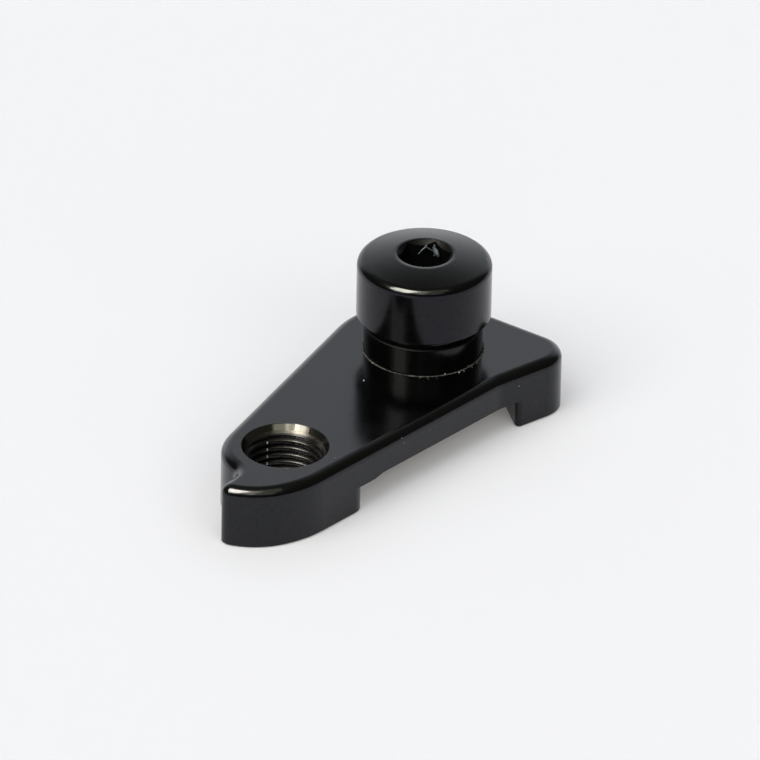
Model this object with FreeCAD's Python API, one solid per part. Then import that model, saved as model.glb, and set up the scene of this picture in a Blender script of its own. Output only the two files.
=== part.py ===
import FreeCAD, Part
import math
import os

# Bicycle derailleur hanger with the nut of its through axle, in millimetres.
# The hanger lies on its inboard side, outboard face up, with the nut standing in its bore.
# Z is up from the table. The finished part's origin is on the derailleur hole's axis, in the
# plane of the table, and X runs from that hole towards the axle. The functions below draw
# everything from the axle's axis, and the export moves it across.

# Hanger plate, seen from above
hole_to_axle = 30.4        # derailleur hole to axle axis
hole_pad_width = 2.95      # metal around the derailleur hole
axle_pad_width = 4.7       # metal around the nut's shank
extra_at_hole = 0.32       # straight front edge, out past the derailleur hole's pad
extra_at_axle = 0.4        # straight front edge, out past the axle's pad
toe_bend_x = -1.1          # where the front edge turns outwards towards the toe
toe_angle = 17.9           # slope of the toe's front edge
toe_bend_radius = 6.0      # hollow bend where the toe begins
toe_corner_radius = 4.25   # round end of the toe
toe_side_lean = 2.1        # lean of the toe's straight side, out towards the back

# Stop tab for the derailleur's tension screw
belly_start = 1.88         # start of the belly curve, past the derailleur hole
belly_radius = 14.25       # first, slack part of the belly curve
belly_turn = 33.1          # slope at which the tight part takes over
belly_end_radius = 9.35    # second, tight part of the belly curve
tab_tip_radius = 1.4
stop_face_offset = 1.35    # stop face, beside the line through hole and axle
notch_radius = 2.4         # hollow corner between the stop face and the hole's pad

# Heights
plate_thickness = 8.15     # at the two legs
web_thickness = 4.3        # over the recess
top_edge_radius = 1.3
base_edge_bevel = 0.2

# Recess across the underside that guides the end of the wheel's hub
recess_angle = 48.0        # its run, measured from X
room_beside_toe = 2.5      # from the nut's shank to the wall beside the toe
room_beside_hole = 6.2     # from the nut's shank to the wall beside the derailleur hole
recess_step = 0.34         # raised land of the recess along the hole-side wall
recess_step_width = 2.0
recess_ramp_width = 1.3
leg_corner_radius = 2.0    # upright corners of the leg at the derailleur hole
toe_leg_corner_radius = 0.6

# Derailleur hole, M10 x 1: the bore has the thread's outer diameter
hole_thread_radius = 5.0
hole_mouth_bevel = 0.5
hole_mouth_depth = 0.75

# Axle nut, from its shank's end up
shank_end_inset = 0.15     # shank's end, in from the recess's floor
shank_wall = 1.5           # metal around the axle's thread
shank_clearance = 0.1      # all round, in the plate's bore
bore_edge_bevel = 0.15
head_standoff = 5.0        # head's underside above the plate's outer face
head_overhang = 1.0        # head past the shank
head_wall_height = 6.67
head_rim_radius = 1.1
head_dome_radius = 32.0
head_lower_bevel = 0.1
neck_depth = 0.6           # relief groove under the head, in from the shank
neck_height = 1.33
neck_bevel = 0.15
shank_end_bevel = 0.5

# Female thread for the through axle, M12 x 1.5: the bore has the thread's outer diameter
axle_thread_radius = 6.0
axle_thread_depth = 8.0    # from the shank's end
drill_point_angle = 118.0
drill_point_radius = 0.4   # flat left by the drill's web

# Six-sided key socket in the head
key_sides = 6
key_across_flats = 6.0
key_mouth_bevel = 0.1      # past the socket's corners
key_depth = 5.0
key_turn = 12.0            # turn of the socket's corners about the axis

overrun = 5.0              # how far a cutting tool runs past the part
touch = 0.001              # distance that counts as none

# Sizes that follow from the ones above
shank_radius = axle_thread_radius + shank_wall
head_radius = shank_radius + head_overhang
neck_radius = shank_radius - neck_depth
hole_mouth_radius = hole_thread_radius + hole_mouth_bevel
hole_pad_radius = hole_thread_radius + hole_pad_width
axle_pad_radius = shank_radius + axle_pad_width
front_edge_at_hole = hole_pad_radius + extra_at_hole
front_edge_at_axle = axle_pad_radius + extra_at_axle
recess_depth = plate_thickness - web_thickness
recess_toe_side = shank_radius + room_beside_toe
recess_hole_side = shank_radius + room_beside_hole
key_corner_radius = key_across_flats / 2 / math.cos(math.pi / key_sides)
key_mouth_radius = key_corner_radius + key_mouth_bevel


def turned(profile):
    """Solid of revolution about Z from a closed list of (radius, height) points."""
    edges = []
    for start, end in zip(profile, profile[1:] + profile[:1]):
        if start != end:
            edges.append(Part.LineSegment(at(*start), at(*end)).toShape())
    return spun(edges)


def at(radius, height):
    """Point of the X-Z half plane."""
    return FreeCAD.Vector(radius, 0, height)


def spun(edges):
    """Solid of revolution about Z of edges that close in the X-Z half plane."""
    face = Part.Face(Part.Wire(edges))
    solid = face.revolve(FreeCAD.Vector(0, 0, 0), FreeCAD.Vector(0, 0, 1), 360)
    if solid.Volume < 0:
        solid.reverse()
    return solid


def plan(x, y):
    """Point of the plan, in the plane of the table."""
    return FreeCAD.Vector(x, y, 0)


def polar(centre, radius, degrees):
    """Point on a circle of the plan."""
    turn = math.radians(degrees)
    return plan(centre.x + radius * math.cos(turn), centre.y + radius * math.sin(turn))


def arc(centre, radius, start, end):
    """Arc of the plan, from one direction to another, both in degrees."""
    middle = polar(centre, radius, (start + end) / 2)
    return Part.Arc(polar(centre, radius, start), middle, polar(centre, radius, end)).toShape()


def line(start, end):
    return Part.LineSegment(start, end).toShape()


def rounded_corner(corner, before, after, radius):
    """Centre and two tangent points of a round between two straight edges that meet at corner."""
    into = (before - corner).normalize()
    out = (after - corner).normalize()
    half = into.getAngle(out) / 2
    reach = radius / math.tan(half)
    bisector = (into + out).normalize()
    centre = corner + bisector * (radius / math.sin(half))
    return centre, corner + into * reach, corner + out * reach


def corner_arc(centre, start, end):
    """Short arc about centre from start to end."""
    radius = start.distanceToPoint(centre)
    outward = ((start - centre) + (end - centre)).normalize()
    return Part.Arc(start, centre + outward * radius, end).toShape()


def plate_outline():
    """Outline of the hanger, anticlockwise from the back of the derailleur hole's pad."""
    hole = plan(-hole_to_axle, 0)
    axle = plan(0, 0)
    # the back edge is tangent to the two pads, and the front edge lies a little outside them
    taper = math.degrees(math.asin((axle_pad_radius - hole_pad_radius) / hole_to_axle))
    back_hole = polar(hole, hole_pad_radius, 90 + taper)
    back_axle = polar(axle, axle_pad_radius, 90 + taper)
    front_taper = math.degrees(math.asin((front_edge_at_axle - front_edge_at_hole) / hole_to_axle))
    front_hole = polar(hole, front_edge_at_hole, -90 - front_taper)
    front_axle = polar(axle, front_edge_at_axle, -90 - front_taper)
    along_front = (front_axle - front_hole).normalize()

    # notch: a hollow arc from the hole's pad to the stop face
    notch_reach = hole_pad_radius + notch_radius
    notch_rise = stop_face_offset + notch_radius
    notch_angle = 180 - math.degrees(math.asin(notch_rise / notch_reach))
    notch_centre = polar(hole, notch_reach, notch_angle)
    notch_end = polar(notch_centre, notch_radius, -90)

    # belly: two arcs, the first tangent to the front edge
    belly_first = front_hole - along_front * belly_start
    first_centre = belly_first + plan(-along_front.y, along_front.x) * belly_radius
    belly_middle = polar(first_centre, belly_radius, -90 - belly_turn)
    end_centre = polar(belly_middle, belly_end_radius, 90 - belly_turn)

    # tip of the tab: a round between the belly and the stop face
    tip_reach = belly_end_radius - tab_tip_radius
    tip_rise = stop_face_offset - tab_tip_radius - end_centre.y
    tip_angle = -180 - math.degrees(math.asin(tip_rise / tip_reach))
    tip_centre = polar(end_centre, tip_reach, tip_angle)
    tip_end = polar(tip_centre, tab_tip_radius, 90)

    # toe: its front edge leaves the long front edge at a hollow bend
    steps = (toe_bend_x - front_hole.x) / along_front.x
    bend = front_hole + along_front * steps
    along_toe = polar(axle, 1, -toe_angle)
    side_face = polar(axle, 1, -toe_side_lean)
    side_top = side_face * axle_pad_radius
    toe_reach = (axle_pad_radius - bend * side_face) / (along_toe * side_face)
    toe_corner = bend + along_toe * toe_reach
    bend_round = rounded_corner(bend, front_hole, toe_corner, toe_bend_radius)
    toe_round = rounded_corner(toe_corner, bend, side_top, toe_corner_radius)

    return Part.Wire([
        arc(hole, hole_pad_radius, 90 + taper, notch_angle),
        arc(notch_centre, notch_radius, notch_angle - 180, -90),
        line(notch_end, tip_end),
        arc(tip_centre, tab_tip_radius, -270, tip_angle),
        arc(end_centre, belly_end_radius, tip_angle, -90 - belly_turn),
        arc(first_centre, belly_radius, -90 - belly_turn, -90 - front_taper),
        line(belly_first, bend_round[1]),
        corner_arc(bend_round[0], bend_round[1], bend_round[2]),
        line(bend_round[2], toe_round[1]),
        corner_arc(toe_round[0], toe_round[1], toe_round[2]),
        line(toe_round[2], side_top),
        arc(axle, axle_pad_radius, -toe_side_lean, 90 + taper),
        line(back_axle, back_hole),
    ])


def is_level(edge, height):
    """Whether the whole edge lies at one height."""
    box = edge.BoundBox
    return abs(box.ZMin - height) < touch and abs(box.ZMax - height) < touch


def plate_blank():
    """The hanger's outline at full thickness, with its round top edge."""
    blank = Part.Face(plate_outline()).extrude(FreeCAD.Vector(0, 0, plate_thickness))
    return blank.makeFillet(top_edge_radius, [e for e in blank.Edges if is_level(e, plate_thickness)])


def recess_cutter():
    """The hub's recess: its cross section, run along the recess from end to end."""
    along = FreeCAD.Vector(math.cos(math.radians(recess_angle)), math.sin(math.radians(recess_angle)), 0)
    across = FreeCAD.Vector(along.y, -along.x, 0)
    wall = -recess_hole_side
    section = [
        (wall, -overrun),
        (wall, recess_depth - recess_step),
        (wall + recess_step_width, recess_depth - recess_step),
        (wall + recess_step_width + recess_ramp_width, recess_depth),
        (recess_toe_side, recess_depth),
        (recess_toe_side, -overrun),
    ]
    reach = hole_to_axle
    points = [across * s + FreeCAD.Vector(0, 0, z) - along * reach for s, z in section]
    face = Part.Face(Part.makePolygon(points + points[:1]))
    return face.extrude(along * (2 * reach))


def derailleur_hole():
    """Countersunk through hole for the derailleur's bolt."""
    top = plate_thickness
    spread_per_depth = (hole_mouth_radius - hole_thread_radius) / hole_mouth_depth
    cutter = turned([
        (0, -overrun),
        (hole_thread_radius, -overrun),
        (hole_thread_radius, top - hole_mouth_depth),
        (hole_mouth_radius + spread_per_depth * overrun, top + overrun),
        (0, top + overrun),
    ])
    cutter.translate(plan(-hole_to_axle, 0))
    return cutter


def shank_bore():
    """Through bore for the axle nut's shank, with a fine bevel at its outer edge."""
    radius = shank_radius + shank_clearance
    top = plate_thickness
    return turned([
        (0, -overrun),
        (radius, -overrun),
        (radius, top - bore_edge_bevel),
        (radius + bore_edge_bevel + overrun, top + overrun),
        (0, top + overrun),
    ])


def distance_across(point):
    """Distance of a point from the axle's axis, square to the recess, towards the toe."""
    run = math.radians(recess_angle)
    return point.x * math.sin(run) - point.y * math.cos(run)


def wall_corners(shape, wall, front_only=False):
    """Upright edges where one wall of the recess, given by its distance across, meets the outline."""
    found = []
    for edge in shape.Edges:
        first, last = edge.ParameterRange
        low, high = sorted([edge.valueAt(first), edge.valueAt(last)], key=lambda point: point.z)
        upright = math.hypot(high.x - low.x, high.y - low.y) < touch and low.z < touch < high.z
        if upright and abs(distance_across(low) - wall) < touch and (low.y < 0 or not front_only):
            found.append(edge)
    return found


def hanger_plate():
    plate = plate_blank().cut(recess_cutter())
    plate = plate.makeFillet(leg_corner_radius, wall_corners(plate, -recess_hole_side))
    plate = plate.makeFillet(toe_leg_corner_radius, wall_corners(plate, recess_toe_side, front_only=True))
    plate = plate.makeChamfer(base_edge_bevel, [e for e in plate.Edges if is_level(e, 0)])
    return plate.cut(derailleur_hole()).cut(shank_bore())


def hex_socket(mouth_height):
    """Key socket: a hole with flat sides and a bevelled round mouth."""
    side_turn = 360 / key_sides
    floor = mouth_height - key_depth
    points = [polar(plan(0, 0), key_corner_radius, key_turn + side_turn * k) for k in range(key_sides + 1)]
    points = [p + FreeCAD.Vector(0, 0, floor) for p in points]
    hexagon = Part.Face(Part.makePolygon(points)).extrude(FreeCAD.Vector(0, 0, key_depth + overrun))
    mouth = turned([
        (0, mouth_height - key_mouth_radius),
        (key_mouth_radius + overrun, mouth_height + overrun),
        (0, mouth_height + overrun),
    ])
    return hexagon.fuse(mouth)


def axle_nut():
    """Turned nut: shank, relief neck, domed round head, key socket and female axle thread."""
    end = recess_depth + shank_end_inset
    under = plate_thickness + head_standoff
    groove = under - neck_height
    wall_top = under + head_wall_height
    rim = head_radius - head_rim_radius
    # the rim's round meets the dome where both have one slope
    lean = math.asin(rim / (head_dome_radius - head_rim_radius))
    meet = at(rim + head_rim_radius * math.sin(lean), wall_top + head_rim_radius * math.cos(lean))
    dome_centre = meet.z - head_dome_radius * math.cos(lean)
    apex = dome_centre + head_dome_radius
    half = lean / 2
    on_dome = at(head_dome_radius * math.sin(half), dome_centre + head_dome_radius * math.cos(half))
    rim_turn = (math.radians(90) + lean) / 2
    on_rim = at(rim + head_rim_radius * math.sin(rim_turn), wall_top + head_rim_radius * math.cos(rim_turn))
    outside = [
        at(0, end),
        at(shank_radius - shank_end_bevel, end),
        at(shank_radius, end + shank_end_bevel),
        at(shank_radius, groove - neck_bevel),
        at(shank_radius - neck_bevel, groove),
        at(neck_radius, groove),
        at(neck_radius, under),
        at(head_radius - head_lower_bevel, under),
        at(head_radius, under + head_lower_bevel),
        at(head_radius, wall_top),
    ]
    edges = [line(a, b) for a, b in zip(outside, outside[1:])]
    edges.append(Part.Arc(outside[-1], on_rim, meet).toShape())
    edges.append(Part.Arc(meet, on_dome, at(0, apex)).toShape())
    edges.append(line(at(0, apex), outside[0]))
    body = spun(edges)

    point_run = (axle_thread_radius - drill_point_radius) / math.tan(math.radians(drill_point_angle / 2))
    bore_end = end + axle_thread_depth
    bore = turned([
        (0, end - overrun),
        (axle_thread_radius, end - overrun),
        (axle_thread_radius, bore_end),
        (drill_point_radius, bore_end + point_run),
        (0, bore_end + point_run),
    ])
    mouth_height = dome_centre + math.sqrt(head_dome_radius ** 2 - key_mouth_radius ** 2)
    return body.cut(bore).cut(hex_socket(mouth_height))


def single_solid(shape):
    """The one solid that a boolean leaves."""
    solids = shape.removeSplitter().Solids
    assert len(solids) == 1
    return solids[0]


os.makedirs("parts", exist_ok=True)
nodes = {"hanger_plate": hanger_plate(), "axle_nut": axle_nut()}
for name, shape in nodes.items():
    solid = single_solid(shape)
    solid.translate(plan(hole_to_axle, 0))
    solid.exportStep("parts/" + name + ".step")
    box = solid.BoundBox
    print(name, "valid", solid.isValid(), "volume %.1f" % solid.Volume, "faces", len(solid.Faces))
    extents = (box.XMin, box.XMax, box.YMin, box.YMax, box.ZMin, box.ZMax)
    print("  x %.2f %.2f  y %.2f %.2f  z %.2f %.2f" % extents)
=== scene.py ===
import math

import bpy
import numpy as np
from mathutils import Matrix


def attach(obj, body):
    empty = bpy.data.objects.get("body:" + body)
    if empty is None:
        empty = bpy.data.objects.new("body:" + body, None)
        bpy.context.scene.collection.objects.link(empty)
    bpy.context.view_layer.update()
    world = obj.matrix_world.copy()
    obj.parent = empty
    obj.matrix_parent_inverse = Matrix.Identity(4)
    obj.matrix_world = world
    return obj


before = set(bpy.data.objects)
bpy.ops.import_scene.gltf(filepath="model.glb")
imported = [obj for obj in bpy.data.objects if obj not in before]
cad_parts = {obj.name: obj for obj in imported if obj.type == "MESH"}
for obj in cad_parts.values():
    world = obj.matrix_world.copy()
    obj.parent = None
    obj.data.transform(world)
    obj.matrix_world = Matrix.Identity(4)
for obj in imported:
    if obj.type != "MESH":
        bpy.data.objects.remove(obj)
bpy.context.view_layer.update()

MM = 0.001
FULL_TURN = 2 * np.pi

# Sizes shared with the part, in millimetres
PLATE_TOP = 8.15
HOLE_TO_AXLE = 30.4
HOLE_THREAD_RADIUS = 5.0
COUNTERSINK_RADIUS = 5.5
COUNTERSINK_DEPTH = 0.75
SHANK_RADIUS = 7.5
SHANK_END = 4.0
COLLAR_TOP = 11.82
HEAD_RADIUS = 8.5
KEY_MOUTH_RADIUS = 3.56
AXLE_THREAD_RADIUS = 6.0
AXLE_THREAD_DEPTH = 8.0

# Threads: pitches in millimetres, and the profile's depth and flats as shares of the pitch
HOLE_PITCH = 1.0
AXLE_PITCH = 1.5
THREAD_DEPTH_SHARE = 0.5413
ROOT_FLAT_SHARE = 1 / 8
CREST_FLAT_SHARE = 1 / 4
THREAD_STEPS_PER_PITCH = 20
THREAD_SIDES = 240
SLEEVE_WALL = 0.03                   # how far the sleeve's skin reaches into the metal round it
HOLE_THREAD_START = 0.02             # just clear of the table
AXLE_THREAD_START = SHANK_END + 0.01
END_CONE_SLOPE = 0.6                 # narrowing of a thread's lower end cone for each millimetre up
RUBBED_ABOVE = 7.1                   # the hole's top thread is rubbed pale above this height
BURR_TURN = 64.0                     # direction from the hole's axis to the row of burrs, in degrees

# The photograph's viewpoint, worked out from the part's own round and upright edges
VIEW_ELEVATION = math.radians(30.144)
VIEW_ROLL = math.radians(1.1535)
VIEW_TURN = math.radians(56.32)      # the part's X axis, seen from above, to the picture's right
FOCAL_PIXELS = 10800.0
PIXELS_PER_MM = 7.9512
AXLE_PIXEL = (422.87, 346.19)        # the axle's centre at the plate's top face
PICTURE = 760
SENSOR_WIDTH = 36

# Dust grains: pixel column, pixel row, and height above the table and radius in millimetres
DUST_GRAINS = [
    (372.5, 363, 8.3, 0.10), (364, 380.5, 8.2, 0.12), (445, 374, 8.25, 0.08), (459, 372.5, 8.25, 0.10),
    (464, 371, 8.25, 0.05), (468, 366, 8.3, 0.05), (472, 367, 8.25, 0.05), (477, 363, 8.3, 0.05),
    (402, 438, 7.33, 0.06), (430, 430, 6.37, 0.06), (404, 443, 6.52, 0.05), (335, 458, 8.2, 0.07),
    (420, 378, 8.2, 0.05), (428, 379, 8.2, 0.05), (437, 378.5, 8.2, 0.05), (519, 386, 6.19, 0.06),
]
GRAIN_FLATNESS = 0.6                 # a grain's height as a share of its width

# Lint in the socket: a way as pixel column, pixel row and height, the radius at each of its places in
# millimetres, and the brightness
LINT = {
    "lint_streak": (
        [(418.5, 254, 20.6), (422, 250, 20.8), (425, 247.5, 20.9), (427.5, 244, 21.1), (431.5, 241, 21.3)],
        [0.03, 0.06, 0.09, 0.05, 0.06], 0.35),
    "lint_flake": (
        [(429, 241.5, 21.3), (433.5, 243, 21.1), (435, 248, 20.8), (437, 252, 20.5), (438.5, 257, 20.1)],
        [0.04, 0.12, 0.16, 0.24, 0.1], 0.22),
    "lint_crumb": ([(433, 247, 20.8), (435.5, 253, 20.4), (434, 256, 20.2)], [0.08, 0.18, 0.06], 0.12),
    "lint_scrap": ([(424, 246, 21.1), (428, 248, 20.8), (433, 251, 20.5)], [0.04, 0.07, 0.05], 0.12),
}
LINT_STEPS = 40
LINT_SIDES = 9
LINT_TIP = 0.05                      # length of the pointed tips

# Finishes
BLACK_DYE = (0.0008, 0.0008, 0.0009)
RUBBED_COUNTERSINK = (0.085, 0.082, 0.075)
EDGE_ROUNDING = 0.06                 # radius at which the sharp edges catch the light
LIP_WIDTH = 0.6                      # how far the dome rounds down into the socket
LIP_DEPTH = 0.13

# Soft boxes, seen in the gloss only: azimuth, elevation, width and height in degrees, brightness, colour
SOFT_BOXES = {
    "key": (223.5, 54, 31, 35, 33.0, (1, 0.92, 0.79)),
    "key_foot": (225, 30, 20, 10, 9.0, (1, 0.97, 0.86)),
    "fill": (251, 55, 31, 38, 4.2, (1.0, 0.96, 0.80)),
    "fill_low": (283, 38, 36, 12, 1.8, (0.97, 1.0, 0.84)),
    "fill_high": (302, 64, 30, 36, 1.1, (1, 0.98, 0.70)),
}

# Even lights on the paper: azimuth, elevation and spread in degrees, share of its brightness, colour
BROAD_LIGHTS = {
    "ceiling": (90, 85, 130, 0.53, (0.975, 0.998, 1.035)),
    "window": (222, 46, 50, 0.27, (1, 0.995, 0.985)),
    "low_front": (290, 20, 60, 0.13, (1, 0.965, 0.90)),
}

# The room in the gloss: colours from the horizon, at 0, to straight up, at 1
ROOM_BACK = [(0, (0.80, 0.82, 0.84)), (0.25, (0.73, 0.755, 0.78)), (0.5, (0.52, 0.545, 0.57)),
             (0.68, (0.26, 0.265, 0.265)), (0.85, (0.10, 0.10, 0.08)), (1, (0.13, 0.13, 0.095))]
ROOM_FRONT = [(0, (0.05, 0.05, 0.045)), (0.5, (0.06, 0.06, 0.048)), (0.8, (0.085, 0.085, 0.062)),
              (1, (0.13, 0.13, 0.095))]
ROOM_BRIGHTNESS = 1.85
BACKDROP_EDGE = (0.5, 0.88)          # cosine of the angle to the far side, at its soft edge's two ends
TABLE_HALF_SIDE = 1600               # millimetres


def studio(azimuth, elevation, distance):
    """Place in the part's frame at an azimuth and elevation in degrees.

    Azimuth 0 is the picture's right, and 90 is its far side.
    """
    turn = math.radians(azimuth) - VIEW_TURN
    rise = math.radians(elevation)
    level = math.cos(rise)
    return np.array([level * math.cos(turn), level * math.sin(turn), math.sin(rise)]) * distance


def look_rotation(back, up):
    """Rotation whose Z is back and whose Y is up, for a camera or a lamp."""
    back = back / np.linalg.norm(back)
    right = np.cross(up, back)
    right = right / np.linalg.norm(right)
    up = np.cross(back, right)
    return Matrix(np.column_stack([right, up, back]).tolist()).to_euler()


def viewpoint():
    """Place of the eye and its right, up and back directions: the axle's centre falls on its pixel."""
    right = studio(0, 0, 1)
    away = studio(90, 0, 1)
    up = math.sin(VIEW_ELEVATION) * away + math.cos(VIEW_ELEVATION) * np.array([0, 0, 1])
    back = -math.cos(VIEW_ELEVATION) * away + math.sin(VIEW_ELEVATION) * np.array([0, 0, 1])
    rolled_right = math.cos(VIEW_ROLL) * right + math.sin(VIEW_ROLL) * up
    rolled_up = -math.sin(VIEW_ROLL) * right + math.cos(VIEW_ROLL) * up
    aside = (AXLE_PIXEL[0] - PICTURE / 2) / PIXELS_PER_MM
    above = -(AXLE_PIXEL[1] - PICTURE / 2) / PIXELS_PER_MM
    place = np.array([HOLE_TO_AXLE, 0, PLATE_TOP]) - aside * rolled_right - above * rolled_up
    place = place + back * FOCAL_PIXELS / PIXELS_PER_MM
    return place, rolled_right, rolled_up, back


def seen_at(column, row, height):
    """Point of the part, in millimetres, that the picture shows at a pixel, at a height above the table."""
    place, right, up, back = viewpoint()
    ray = (column - PICTURE / 2) * right + (PICTURE / 2 - row) * up - FOCAL_PIXELS * back
    return place + ray * (height - place[2]) / ray[2]


def camera_at_the_photograph():
    """Camera at the viewpoint, with the lens that gives the photograph's perspective."""
    place, right, up, back = viewpoint()
    data = bpy.data.cameras.new("camera")
    data.sensor_width = SENSOR_WIDTH
    data.lens = FOCAL_PIXELS / PICTURE * SENSOR_WIDTH
    data.clip_start = 0.05
    data.clip_end = 20
    camera = bpy.data.objects.new("camera", data)
    camera.location = place * MM
    camera.rotation_euler = look_rotation(back, up)
    bpy.context.collection.objects.link(camera)
    bpy.context.scene.camera = camera


def soft_box(name, azimuth, elevation, wide, tall, brightness, colour):
    """Area lamp a metre away that shows in reflections only, wide and tall as the part sees it."""
    data = bpy.data.lights.new(name, "AREA")
    data.shape = "RECTANGLE"
    data.size = 2 * math.tan(math.radians(wide / 2))
    data.size_y = 2 * math.tan(math.radians(tall / 2))
    data.energy = brightness * data.size * data.size_y * math.pi
    data.color = colour
    lamp = bpy.data.objects.new(name, data)
    place = studio(azimuth, elevation, 1.0)
    lamp.location = place
    lamp.rotation_euler = look_rotation(place, np.array([0, 0, 1.0]))
    lamp.visible_diffuse = False
    bpy.context.collection.objects.link(lamp)


def broad_light(name, azimuth, elevation, spread, share, colour):
    """Even light on paper and plate from one side, which doesn't show in reflections."""
    data = bpy.data.lights.new(name, "SUN")
    data.angle = math.radians(spread)
    data.energy = share * math.pi / math.sin(math.radians(elevation))
    data.color = colour
    lamp = bpy.data.objects.new(name, data)
    lamp.rotation_euler = look_rotation(studio(azimuth, elevation, 1.0), np.array([0.3, 0.4, 1.0]))
    lamp.visible_glossy = False
    bpy.context.collection.objects.link(lamp)


def mesh_piece(name, points, faces):
    """Smooth mesh object from an array of points in millimetres and a list of faces."""
    mesh = bpy.data.meshes.new(name)
    mesh.from_pydata((points * MM).tolist(), [], faces)
    mesh.polygons.foreach_set("use_smooth", np.full(len(faces), True))
    thing = bpy.data.objects.new(name, mesh)
    bpy.context.collection.objects.link(thing)
    return thing


def grid_faces(row, column, next_row, next_column, columns):
    """Four-sided faces between the given rows and columns of a grid whose points are counted row by row."""
    corners = [row * columns + column, row * columns + next_column,
               next_row * columns + next_column, next_row * columns + column]
    return np.stack([corner.ravel() for corner in corners], axis=1)


def ring_about_axis(name, section_radius, section_height, turn, axis_x):
    """Closed ring: x = axis + radius cos turn, y = radius sin turn, z = height.

    The radius and height are 2-D arrays, with rows round the section and columns round the axis. The grid
    closes on itself both ways, and its faces are turned over if they enclose a negative volume.
    """
    across = axis_x + section_radius * np.cos(turn)
    along = section_radius * np.sin(turn)
    points = np.stack([across, along, section_height], axis=-1).reshape(-1, 3)
    rows, columns = section_radius.shape
    row, column = np.meshgrid(np.arange(rows), np.arange(columns), indexing="ij")
    faces = grid_faces(row, column, (row + 1) % rows, (column + 1) % columns, columns)
    first, second, third, fourth = [points[faces[:, corner]] for corner in range(4)]
    volume = np.sum(first * np.cross(second, third)) + np.sum(first * np.cross(third, fourth))
    if volume < 0:
        faces = faces[:, ::-1]
    return mesh_piece(name, points, faces.tolist())


def crest_radius(root, pitch):
    """Radius of a female thread's crests: root - depth share x pitch."""
    return root - THREAD_DEPTH_SHARE * pitch


def thread_sleeve(name, axis_x, root, pitch, low, high, top_slope):
    """Right-handed female thread as a closed sleeve whose skin lies just inside the metal round it.

    The radius falls from the root to the crest and back once a pitch, along height / pitch - turn / 2 pi,
    with straight flanks between the root's flat and the crest's. At each end the radius is at least that
    of a cone, root - slope x distance from the end, which cuts the crests back.
    """
    crest = crest_radius(root, pitch)
    steps = int((high - low) / pitch * THREAD_STEPS_PER_PITCH) + 1
    heights = np.linspace(low, high, steps)[:, None]
    turn = np.linspace(0, FULL_TURN, THREAD_SIDES, endpoint=False)[None, :]
    from_root = np.abs((heights / pitch - turn / FULL_TURN) % 1 - 0.5)
    root_edge = ROOT_FLAT_SHARE / 2
    crest_edge = 0.5 - CREST_FLAT_SHARE / 2
    depth = np.clip((crest_edge - from_root) / (crest_edge - root_edge), 0, 1)
    inner = crest + (root - crest) * depth
    inner = np.maximum(inner, root - (high - heights) * top_slope)
    inner = np.maximum(inner, root - (heights - low) * END_CONE_SLOPE)
    skin = np.full((2, turn.size), root + SLEEVE_WALL)
    ends = np.array([[high], [low]]) + 0 * turn
    radius = np.concatenate([inner, skin])
    height = np.concatenate([heights + 0 * turn, ends])
    return ring_about_axis(name, radius, height, np.broadcast_to(turn, radius.shape), axis_x)


def seam_dust():
    """Dust packed in the seam round the shank.

    The section is an oval: middle + half-width x cos section, and height + half-height x sin section. The
    middle and both halves grow with a waver, a sum of three sines of the turn that fades away from the eye.
    """
    section = np.linspace(0, FULL_TURN, 12, endpoint=False)[:, None]
    turn = np.linspace(0, FULL_TURN, 420, endpoint=False)[None, :]
    waver = 0.5 + 0.22 * np.sin(7 * turn + 1) + 0.16 * np.sin(23 * turn + 2) + 0.12 * np.sin(61 * turn)
    waver = waver * (0.65 + 0.35 * np.cos(turn - math.radians(195)))
    middle = SHANK_RADIUS + 0.12 + 0.03 * waver
    half_width = 0.10 + 0.05 * waver
    half_height = 0.06 + 0.04 * waver
    radius = middle + half_width * np.cos(section)
    height = PLATE_TOP - 0.03 + half_height * np.sin(section)
    return ring_about_axis("seam_dust", radius, height, np.broadcast_to(turn, radius.shape), HOLE_TO_AXLE)


def capped_tubes(name, rings, starts, ends):
    """Tubes with closed tips: rings[tube, row, column, 3], and each tube's two tips in starts and ends.

    Four-sided faces join each ring to the next, and a fan of triangles joins each end ring to its tip.
    """
    tubes, rows, columns = rings.shape[:3]
    points = np.concatenate([rings.reshape(tubes, -1, 3), starts[:, None], ends[:, None]], axis=1)
    row, column = np.meshgrid(np.arange(rows - 1), np.arange(columns), indexing="ij")
    sides = grid_faces(row, column, row + 1, (column + 1) % columns, columns)
    edge = np.arange(columns)
    beyond = (edge + 1) % columns
    last = (rows - 1) * columns
    tip = np.full(columns, rows * columns)
    start_fan = np.stack([tip, beyond, edge, tip], axis=-1)
    end_fan = np.stack([tip + 1, last + edge, last + beyond, tip + 1], axis=-1)
    one_tube = np.concatenate([sides, start_fan, end_fan])
    first_points = np.arange(tubes) * points.shape[1]
    faces = (one_tube[None] + first_points[:, None, None]).reshape(-1, 4).tolist()
    faces = [face[:3] if face[0] == face[3] else face for face in faces]
    return mesh_piece(name, points.reshape(-1, 3), faces)


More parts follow.
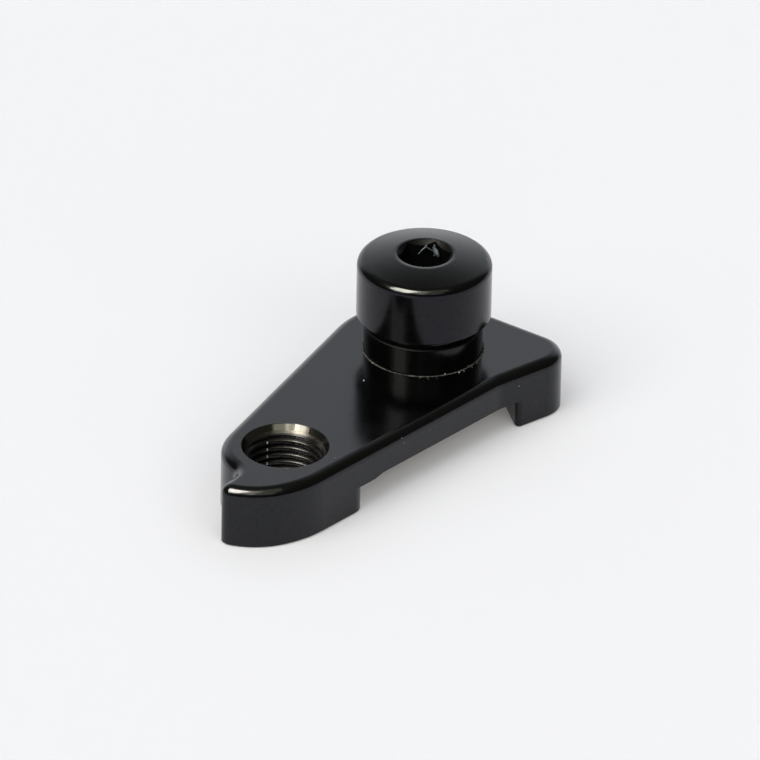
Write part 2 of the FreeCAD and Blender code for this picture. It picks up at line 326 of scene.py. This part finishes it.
def dust_specks():
    """Dust grains on the plate and at the seam, size by size where the picture shows them.

    Each is a flattened ball, sin lean cos turn, sin lean sin turn, flatness x cos lean, times a lumpiness
    of 1 + a quarter of sin(3 turn + 5 lean).
    """
    centres = np.array([seen_at(column, row, height) for column, row, height, size in DUST_GRAINS])
    sizes = np.array([size for column, row, height, size in DUST_GRAINS])[:, None, None, None]
    lean = np.linspace(np.pi, 0, 8)[1:-1][:, None]
    turn = np.linspace(0, FULL_TURN, 12, endpoint=False)[None, :]
    upright = GRAIN_FLATNESS * np.cos(lean) + 0 * turn
    ball = [np.sin(lean) * np.cos(turn), np.sin(lean) * np.sin(turn), upright]
    lumps = 1 + 0.25 * np.sin(3 * turn + 5 * lean)
    rings = centres[:, None, None] + sizes * np.stack(ball, axis=-1)[None] * lumps[None, :, :, None]
    rise = np.array([0, 0, GRAIN_FLATNESS]) * sizes[:, 0, 0]
    return capped_tubes("dust_specks", rings, centres - rise, centres + rise)


def strand(name, way, radii):
    """Fibre with pointed tips, carried along a way of points in millimetres.

    The way is read at even steps and smoothed with weights 1, 4, 6, 4, 1. Round each step runs a circle,
    cos turn x aside + sin turn x over, of the radius there, roughened by 0.3 sin 2.1 step sin 2 turn.
    """
    steps = np.linspace(0, len(way) - 1, LINT_STEPS)
    marks = np.arange(len(way))
    places = np.stack([np.interp(steps, marks, way[:, axis]) for axis in range(3)], axis=-1)
    weights = np.array([1, 4, 6, 4, 1]) / 16
    padded = np.pad(places, ((2, 2), (0, 0)), mode="edge")
    places = sum(weight * padded[k:k + LINT_STEPS] for k, weight in enumerate(weights))
    along = np.gradient(places, axis=0)
    along = along / np.linalg.norm(along, axis=1, keepdims=True)
    aside = np.cross(along, [0.3, 0.2, 0.93])
    aside = aside / np.linalg.norm(aside, axis=1, keepdims=True)
    over = np.cross(along, aside)
    turn = np.linspace(0, FULL_TURN, LINT_SIDES, endpoint=False)[None, :, None]
    circle = np.cos(turn) * aside[:, None] + np.sin(turn) * over[:, None]
    radius = np.interp(steps, marks, radii)[:, None, None]
    rough = 1 + 0.3 * np.sin(2.1 * steps)[:, None, None] * np.sin(2 * turn)
    rings = places[:, None] + radius * rough * circle
    start = places[:1] - LINT_TIP * along[:1]
    end = places[-1:] + LINT_TIP * along[-1:]
    return capped_tubes(name, rings[None], start, end)


class Finish:
    """A procedural material and the node helpers that build it."""

    def __init__(self, name):
        self.material = bpy.data.materials.new(name)
        self.material.use_nodes = True
        self.nodes = self.material.node_tree.nodes
        self.links = self.material.node_tree.links
        self.shader = self.nodes["Principled BSDF"]
        self.place = self.nodes.new("ShaderNodeTexCoord").outputs["Object"]

    def feed(self, socket, value):
        """Link another node's output, or set a plain value."""
        if isinstance(value, bpy.types.NodeSocket):
            self.links.new(value, socket)
        else:
            socket.default_value = value

    def math(self, kind, first, second=0.0, clamp=False):
        """One step of arithmetic on outputs or numbers."""
        node = self.nodes.new("ShaderNodeMath")
        node.operation = kind
        node.use_clamp = clamp
        self.feed(node.inputs[0], first)
        self.feed(node.inputs[1], second)
        return node.outputs[0]

    def stretch(self, value, low, high, new_low=0.0, new_high=1.0):
        """Smooth change from new_low to new_high while value goes from low to high."""
        node = self.nodes.new("ShaderNodeMapRange")
        node.interpolation_type = "SMOOTHSTEP"
        for socket, given in zip(list(node.inputs)[:5], (value, low, high, new_low, new_high)):
            self.feed(socket, given)
        return node.outputs["Result"]

    def noise(self, where, per_mm, detail):
        """Noise between 0 and 1 with per_mm blotches to the millimetre."""
        node = self.nodes.new("ShaderNodeTexNoise")
        node.inputs["Scale"].default_value = per_mm / MM
        node.inputs["Detail"].default_value = detail
        self.feed(node.inputs["Vector"], where)
        return node.outputs["Fac"]

    def about(self, axis_x):
        """Distance from an upright axis, angle about it and height, in metres and radians."""
        split = self.nodes.new("ShaderNodeSeparateXYZ")
        self.links.new(self.place, split.inputs[0])
        x = self.math("SUBTRACT", split.outputs["X"], axis_x * MM)
        y = split.outputs["Y"]
        squares = self.math("ADD", self.math("MULTIPLY", x, x), self.math("MULTIPLY", y, y))
        return self.math("SQRT", squares), self.math("ARCTAN2", y, x), split.outputs["Z"]

    def vector(self, x, y, z):
        """Place made from three outputs or numbers."""
        node = self.nodes.new("ShaderNodeCombineXYZ")
        for socket, given in zip(node.inputs, (x, y, z)):
            self.feed(socket, given)
        return node.outputs[0]

    def blend(self, share, low, high):
        """Colour between low and high."""
        node = self.nodes.new("ShaderNodeMix")
        node.data_type = "RGBA"
        self.feed(node.inputs["Factor"], share)
        self.feed(node.inputs["A"], low if isinstance(low, bpy.types.NodeSocket) else (*low, 1))
        self.feed(node.inputs["B"], high if isinstance(high, bpy.types.NodeSocket) else (*high, 1))
        return node.outputs["Result"]

    def bump(self, height, depth_mm, under=None):
        """Surface relief: a height between 0 and 1 with a depth in millimetres."""
        node = self.nodes.new("ShaderNodeBump")
        node.inputs["Strength"].default_value = 1.0
        node.inputs["Distance"].default_value = depth_mm * MM
        self.feed(node.inputs["Height"], height)
        if under is not None:
            self.links.new(under, node.inputs["Normal"])
        return node.outputs["Normal"]

    def rounded(self, radius_mm):
        """Normal that rounds every sharp edge by a small radius."""
        node = self.nodes.new("ShaderNodeBevel")
        node.samples = 6
        node.inputs["Radius"].default_value = radius_mm * MM
        return node.outputs["Normal"]

    def wear(self, rounded):
        """Share of edge wear: where the rounded normal leaves the flat one, broken up by noise."""
        geometry = self.nodes.new("ShaderNodeNewGeometry")
        node = self.nodes.new("ShaderNodeVectorMath")
        node.operation = "DOT_PRODUCT"
        self.links.new(rounded, node.inputs[0])
        self.links.new(geometry.outputs["Normal"], node.inputs[1])
        bent = self.stretch(node.outputs["Value"], 0.99, 0.9)
        patches = self.stretch(self.noise(self.place, per_mm=1.3, detail=4.0), 0.5, 0.68)
        return self.math("MULTIPLY", bent, patches)

    def sheen(self, per_mm):
        """Specular level that drifts a little either side of the middle one."""
        return self.stretch(self.noise(self.place, per_mm, detail=3.0), 0.25, 0.75, 0.46, 0.54)

    def set(self, **inputs):
        """Feed the shader's sockets, whose names have low lines for their spaces."""
        for name, value in inputs.items():
            self.feed(self.shader.inputs[name.replace("_", " ")], value)


def black_plate():
    """Satin black anodising over milled and bead-blasted aluminium, rubbed pale in the countersink."""
    finish = Finish("black_anodised_plate")
    fine = finish.noise(finish.place, per_mm=5.0, detail=3.0)
    cloud = finish.noise(finish.place, per_mm=0.35, detail=4.0)
    grain = finish.stretch(fine, 0.3, 0.7, 0.13, 0.19)
    drift = finish.stretch(cloud, 0.3, 0.7, -0.015, 0.025)
    edges = finish.rounded(EDGE_ROUNDING)
    radius = finish.about(0)[0]
    rubbed = finish.stretch(radius, (COUNTERSINK_RADIUS - 0.03) * MM, (COUNTERSINK_RADIUS - 0.06) * MM)
    paint = finish.blend(finish.wear(edges), BLACK_DYE, (0.05, 0.05, 0.052))
    finish.set(Base_Color=finish.blend(rubbed, paint, RUBBED_COUNTERSINK), Metallic=rubbed,
               Roughness=finish.math("ADD", grain, drift), IOR=1.4, Specular_IOR_Level=finish.sheen(2.2),
               Specular_Tint=(0.94, 0.965, 1.06, 1), Normal=finish.bump(fine, 0.0011, edges))
    return finish.material


def black_nut():
    """Black anodising over turned aluminium, with the lathe's fine rings.

    It is dull in the socket and on the collar's top edge, its tint turns violet on the head's wall,
    and a lip rounds the dome down into the socket.
    """
    finish = Finish("black_anodised_nut")
    radius, turn, height = finish.about(HOLE_TO_AXLE)
    round_the_nut = finish.vector(radius, height, finish.math("MULTIPLY", turn, 0.02 * MM))
    rings = finish.noise(round_the_nut, per_mm=9.0, detail=2.0)
    fine = finish.noise(finish.place, per_mm=6.0, detail=3.0)
    edges = finish.rounded(EDGE_ROUNDING)

    above_collar = finish.stretch(height, (COLLAR_TOP + 0.08) * MM, (COLLAR_TOP + 0.58) * MM)
    outermost = finish.stretch(radius, (HEAD_RADIUS - 0.3) * MM, (HEAD_RADIUS - 0.05) * MM)
    wall = finish.math("MULTIPLY", above_collar, outermost)

    past_mouth = finish.math("SUBTRACT", radius, (KEY_MOUTH_RADIUS - 0.06) * MM)
    over_lip = finish.math("MULTIPLY", past_mouth, 1 / (LIP_WIDTH * MM), clamp=True)
    left = finish.math("SUBTRACT", 1.0, over_lip)
    lip = finish.math("SUBTRACT", 1.0, finish.math("MULTIPLY", left, left))

    key_hole = finish.stretch(radius, (KEY_MOUTH_RADIUS + 0.04) * MM, (KEY_MOUTH_RADIUS - 0.04) * MM)
    from_edge = finish.math("ABSOLUTE", finish.math("SUBTRACT", height, (COLLAR_TOP - 0.06) * MM))
    dull = finish.math("MAXIMUM", key_hole, finish.stretch(from_edge, 0.18 * MM, 0.10 * MM))
    kept_gloss = finish.math("SUBTRACT", 1.0, finish.math("MULTIPLY", dull, 0.72))
    lathe = finish.stretch(rings, 0.3, 0.7, 0.12, 0.19)
    marks = finish.bump(rings, 0.0016, finish.bump(fine, 0.0006, edges))

    finish.set(Base_Color=finish.blend(finish.wear(edges), BLACK_DYE, (0.05, 0.05, 0.055)), IOR=1.34,
               Roughness=finish.math("ADD", lathe, finish.math("MULTIPLY", dull, 0.35)),
               Specular_IOR_Level=finish.math("MULTIPLY", finish.sheen(1.8), kept_gloss),
               Specular_Tint=finish.blend(wall, (0.97, 1.03, 1.06), (0.98, 0.955, 1.12)),
               Normal=finish.bump(lip, LIP_DEPTH, marks))
    return finish.material


def black_thread(name, axis_x, crest, burr_turn=None, rubbed_above=None):
    """Cut thread under the anodising: shiny flanks and paler crests.

    Where asked, a row of small bright burrs runs up the crests at one turn, in degrees, and the thread is
    rubbed pale above one height, in millimetres.
    """
    finish = Finish(name)
    radius, turn, height = finish.about(axis_x)
    fine = finish.noise(finish.place, per_mm=8.0, detail=3.0)
    on_crest = finish.stretch(radius, (crest + 0.12) * MM, (crest + 0.02) * MM)
    patchy = finish.math("MULTIPLY", on_crest, finish.stretch(fine, 0.35, 0.6, 0.3, 1.0))
    paint = finish.blend(patchy, (0.0008, 0.0008, 0.001), (0.006, 0.006, 0.0055))
    if burr_turn is not None:
        off = finish.math("ABSOLUTE", finish.math("SUBTRACT", turn, math.radians(burr_turn)))
        on_row = finish.stretch(off, math.radians(1.6), math.radians(0.6))
        paint = finish.blend(finish.math("MULTIPLY", on_row, on_crest), paint, (0.45, 0.45, 0.43))
    if rubbed_above is not None:
        rubbed = finish.stretch(height, (rubbed_above - 0.05) * MM, (rubbed_above + 0.05) * MM)
        paint = finish.blend(rubbed, paint, (0.07, 0.068, 0.062))
        finish.set(Metallic=rubbed)
    finish.set(Base_Color=paint, Roughness=finish.stretch(fine, 0.3, 0.7, 0.22, 0.34), IOR=1.36,
               Specular_Tint=(1, 1, 1.02, 1), Normal=finish.bump(fine, 0.0007))
    return finish.material


def pale_dust(name, dark, light, per_mm):
    """Dull dust or lint, blotchy from dark to light."""
    finish = Finish(name)
    blotch = finish.noise(finish.place, per_mm, detail=4.0)
    finish.set(Base_Color=finish.blend(finish.stretch(blotch, 0.35, 0.65), dark, light), Roughness=0.9,
               Specular_IOR_Level=0.2, Normal=finish.bump(blotch, 0.02))
    return finish.material


def pale_lint(name, brightness):
    """Crumpled bluish lint, light in places and nearly black in others."""
    light = (0.78 * brightness, 0.95 * brightness, 1.0 * brightness)
    return pale_dust(name, (0.01, 0.016, 0.02), light, per_mm=2.5)


def white_paper():
    """Matt white paper with a faint glow of its own, which lifts its shadows."""
    finish = Finish("white_paper")
    fibre = finish.noise(finish.place, per_mm=3.0, detail=4.0)
    finish.set(Base_Color=finish.blend(fibre, (0.855, 0.858, 0.875), (0.865, 0.867, 0.885)), Roughness=0.8,
               Specular_IOR_Level=0.2, Normal=finish.bump(fibre, 0.004),
               Emission_Color=(1, 0.97, 0.90, 1), Emission_Strength=0.095)
    return finish.material


def white_table():
    """Flat square of paper under the part: a grid of x and y at height 0."""
    side = np.linspace(-TABLE_HALF_SIDE, TABLE_HALF_SIDE, 3)
    across, along = np.meshgrid(side, side)
    points = np.stack([across, along, 0 * across], axis=-1).reshape(-1, 3)
    row, column = np.meshgrid(np.arange(2), np.arange(2), indexing="ij")
    table = mesh_piece("table", points, grid_faces(row, column, row + 1, column + 1, 3).tolist())
    table.data.materials.append(white_paper())


def ramp(nodes, stops):
    """Colour ramp through (place, colour) stops."""
    made = nodes.new("ShaderNodeValToRGB")
    row = made.color_ramp.elements
    while len(row) < len(stops):
        row.new(0.5)
    for element, (place, colour) in zip(row, stops):
        element.position = place
        element.color = (*colour, 1)
    return made


def studio_room():
    """Room seen in the gloss only: a pale backdrop that darkens upwards, and a dim side behind the camera.

    The two are mixed by a smooth step of the cosine between the level part of a direction and the far side.
    """
    world = bpy.data.worlds.new("room")
    world.use_nodes = True
    nodes, links = world.node_tree.nodes, world.node_tree.links
    where = nodes.new("ShaderNodeTexCoord").outputs["Generated"]
    height = nodes.new("ShaderNodeSeparateXYZ")
    links.new(where, height.inputs[0])

    def vector_step(kind, given, other=None):
        node = nodes.new("ShaderNodeVectorMath")
        node.operation = kind
        links.new(given, node.inputs[0])
        if other is not None:
            node.inputs[1].default_value = other
        return node

    level = vector_step("MULTIPLY", where, (1, 1, 0)).outputs["Vector"]
    unit = vector_step("NORMALIZE", level).outputs["Vector"]
    away = vector_step("DOT_PRODUCT", unit, studio(90, 0, 1)).outputs["Value"]
    behind = nodes.new("ShaderNodeMapRange")
    behind.interpolation_type = "SMOOTHSTEP"
    behind.inputs["From Min"].default_value = BACKDROP_EDGE[0]
    behind.inputs["From Max"].default_value = BACKDROP_EDGE[1]
    links.new(away, behind.inputs["Value"])
    both = nodes.new("ShaderNodeMix")
    both.data_type = "RGBA"
    links.new(behind.outputs["Result"], both.inputs["Factor"])
    for stops, side in ((ROOM_FRONT, "A"), (ROOM_BACK, "B")):
        colours = ramp(nodes, stops)
        links.new(height.outputs["Z"], colours.inputs[0])
        links.new(colours.outputs["Color"], both.inputs[side])
    ground = nodes["Background"]
    links.new(both.outputs["Result"], ground.inputs["Color"])
    ground.inputs["Strength"].default_value = ROOM_BRIGHTNESS
    bpy.context.scene.world = world
    world.cycles_visibility.diffuse = False


def dress(thing, material):
    """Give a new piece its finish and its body."""
    thing.data.materials.append(material)
    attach(thing, "root")


camera_at_the_photograph()
white_table()
studio_room()
for name, settings in SOFT_BOXES.items():
    soft_box(name, *settings)
for name, settings in BROAD_LIGHTS.items():
    broad_light(name, *settings)

for node, material in (("hanger_plate", black_plate()), ("axle_nut", black_nut())):
    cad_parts[node].data.materials.clear()
    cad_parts[node].data.materials.append(material)

# The hole's top cone carries on from the countersink's. The axle's sleeve gets no slope, so its end cone
# stays at the root radius and cuts back all of its crests, leaving a plain bore
countersink_slope = (COUNTERSINK_RADIUS - HOLE_THREAD_RADIUS) / COUNTERSINK_DEPTH
hole_thread = thread_sleeve("derailleur_thread", 0, HOLE_THREAD_RADIUS, HOLE_PITCH, HOLE_THREAD_START,
                            PLATE_TOP - COUNTERSINK_DEPTH, countersink_slope)
hole_crest = crest_radius(HOLE_THREAD_RADIUS, HOLE_PITCH)
dress(hole_thread, black_thread("black_hole_thread", 0, hole_crest, BURR_TURN, RUBBED_ABOVE))

axle_thread = thread_sleeve("axle_thread", HOLE_TO_AXLE, AXLE_THREAD_RADIUS, AXLE_PITCH, AXLE_THREAD_START,
                            SHANK_END + AXLE_THREAD_DEPTH, 0.0)
axle_crest = crest_radius(AXLE_THREAD_RADIUS, AXLE_PITCH)
dress(axle_thread, black_thread("black_axle_thread", HOLE_TO_AXLE, axle_crest))

dress(seam_dust(), pale_dust("seam_dust", (0.012, 0.011, 0.01), (0.12, 0.113, 0.092), per_mm=3.0))
dress(dust_specks(), pale_dust("dust", (0.12, 0.12, 0.13), (0.8, 0.8, 0.83), per_mm=4.0))
for name, (pixels, radii, brightness) in LINT.items():
    way = np.array([seen_at(*pixel) for pixel in pixels])
    dress(strand(name, way, radii), pale_lint(name, brightness))

bpy.context.scene.view_settings.view_transform = "Standard"
bpy.context.scene.view_settings.look = "None"
